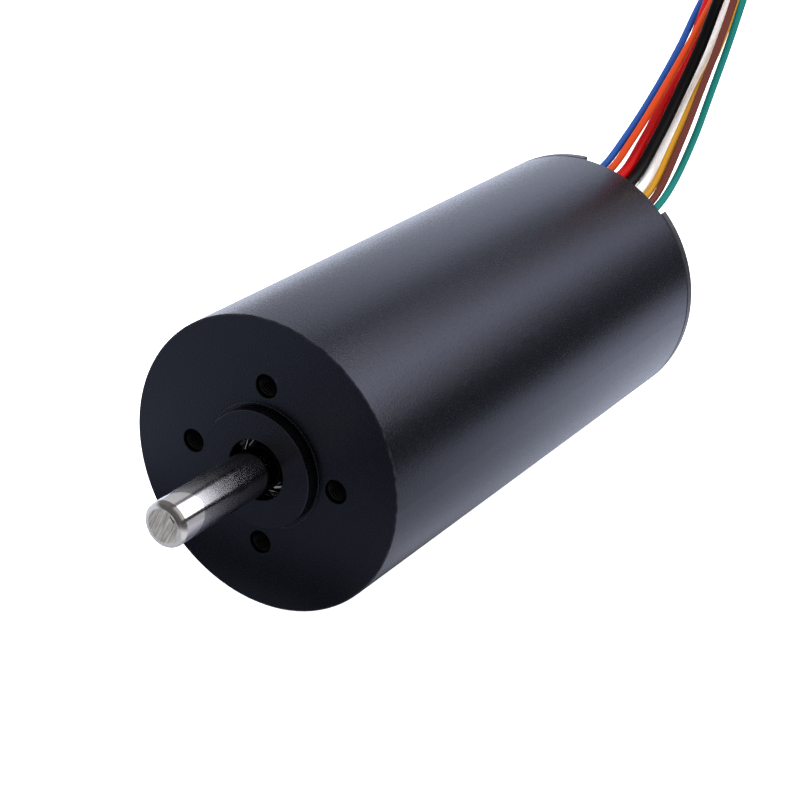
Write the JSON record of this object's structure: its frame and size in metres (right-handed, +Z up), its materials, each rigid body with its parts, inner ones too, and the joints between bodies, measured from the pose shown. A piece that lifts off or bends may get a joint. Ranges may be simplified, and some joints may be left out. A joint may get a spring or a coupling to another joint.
{
  "type": "brushless coreless motor",
  "caption": "Slim round brushless motor with a plain shaft, a centring spigot, threaded holes in its front face and coloured leads at the rear edge.",
  "frame": {"origin": "centre of the front mounting face, on the shaft's axis", "axes": "-Y out of the shaft's output end, +Y along the body to the rear cap, +Z up with the leads leaving between +X and +Z"},
  "size_m": [0.0488, 0.226, 0.08],
  "materials": {
    "housing_black": "satin",
    "cap_black": "matte",
    "screw_steel": "satin",
    "clamp_black": "matte",
    "lamination_steel": "satin",
    "liner_amber": "satin",
    "winding_copper": "gloss",
    "bell_aluminium": "satin",
    "board_green": "satin",
    "sensor_black": "matte",
    "solder_tin": "gloss",
    "bearing_steel": "polished",
    "shield_steel": "satin",
    "shaft_steel": "satin",
    "magnet_alloy": "satin",
    "band_carbon": "satin",
    "turned_brass": "satin",
    "cage_nylon": "matte",
    "insulation_blue": "gloss",
    "insulation_orange": "gloss",
    "insulation_red": "gloss",
    "insulation_black": "gloss",
    "insulation_white": "gloss",
    "insulation_yellow": "gloss",
    "insulation_brown": "gloss",
    "insulation_green": "gloss",
    "tinned_copper": "gloss"
  },
  "bodies": {
    "stator": {"housing": "housing_black", "centring_ring": "housing_black", "rear_bell": "bell_aluminium", "rear_cap": "cap_black", "cap_screws": "screw_steel", "lead_clamp": "clamp_black", "stator_stack": "lamination_steel", "insulation_sleeve": "liner_amber", "winding": "winding_copper", "phase_tails": "winding_copper", "hall_board": "board_green", "hall_sensors": "sensor_black", "solder_joints": "solder_tin", "front_shim": "shield_steel", "wave_washer": "shield_steel", "front_outer_ring": "bearing_steel", "rear_outer_ring": "bearing_steel", "front_shields": "shield_steel", "rear_shields": "shield_steel", "lead_blue": "insulation_blue", "lead_orange": "insulation_orange", "lead_red": "insulation_red", "lead_black": "insulation_black", "lead_white": "insulation_white", "lead_yellow": "insulation_yellow", "lead_brown": "insulation_brown", "lead_green": "insulation_green", "tinned_ends": "tinned_copper"},
    "rotor": {"shaft": "shaft_steel", "rotor_magnet": "magnet_alloy", "magnet_sleeve": "band_carbon", "front_balance_ring": "turned_brass", "rear_balance_ring": "turned_brass", "front_spacer": "shield_steel", "rear_spacer": "shield_steel", "front_inner_ring": "bearing_steel", "rear_inner_ring": "bearing_steel", "sensor_hub": "turned_brass", "sensor_magnet": "magnet_alloy"},
    "front_cage_set": {"front_cage": "cage_nylon", "front_balls": "bearing_steel"},
    "rear_cage_set": {"rear_cage": "cage_nylon", "rear_balls": "bearing_steel"}
  },
  "joints": [
    {"name": "rotor_spin", "type": "hinge", "parent": "stator", "child": "rotor", "pos_m": [0, 0, 0], "axis": [0, -1, 0], "continuous": true},
    {"name": "front_cage_spin", "type": "hinge", "parent": "stator", "child": "front_cage_set", "pos_m": [0, 0.0039, 0], "axis": [0, -1, 0], "continuous": true},
    {"name": "rear_cage_spin", "type": "hinge", "parent": "stator", "child": "rear_cage_set", "pos_m": [0, 0.0685, 0], "axis": [0, -1, 0], "continuous": true}
  ],
  "couplings": [
    {"joint": "front_cage_spin", "follows": "rotor_spin", "ratio": 0.381},
    {"joint": "rear_cage_spin", "follows": "rotor_spin", "ratio": 0.381}
  ]
}
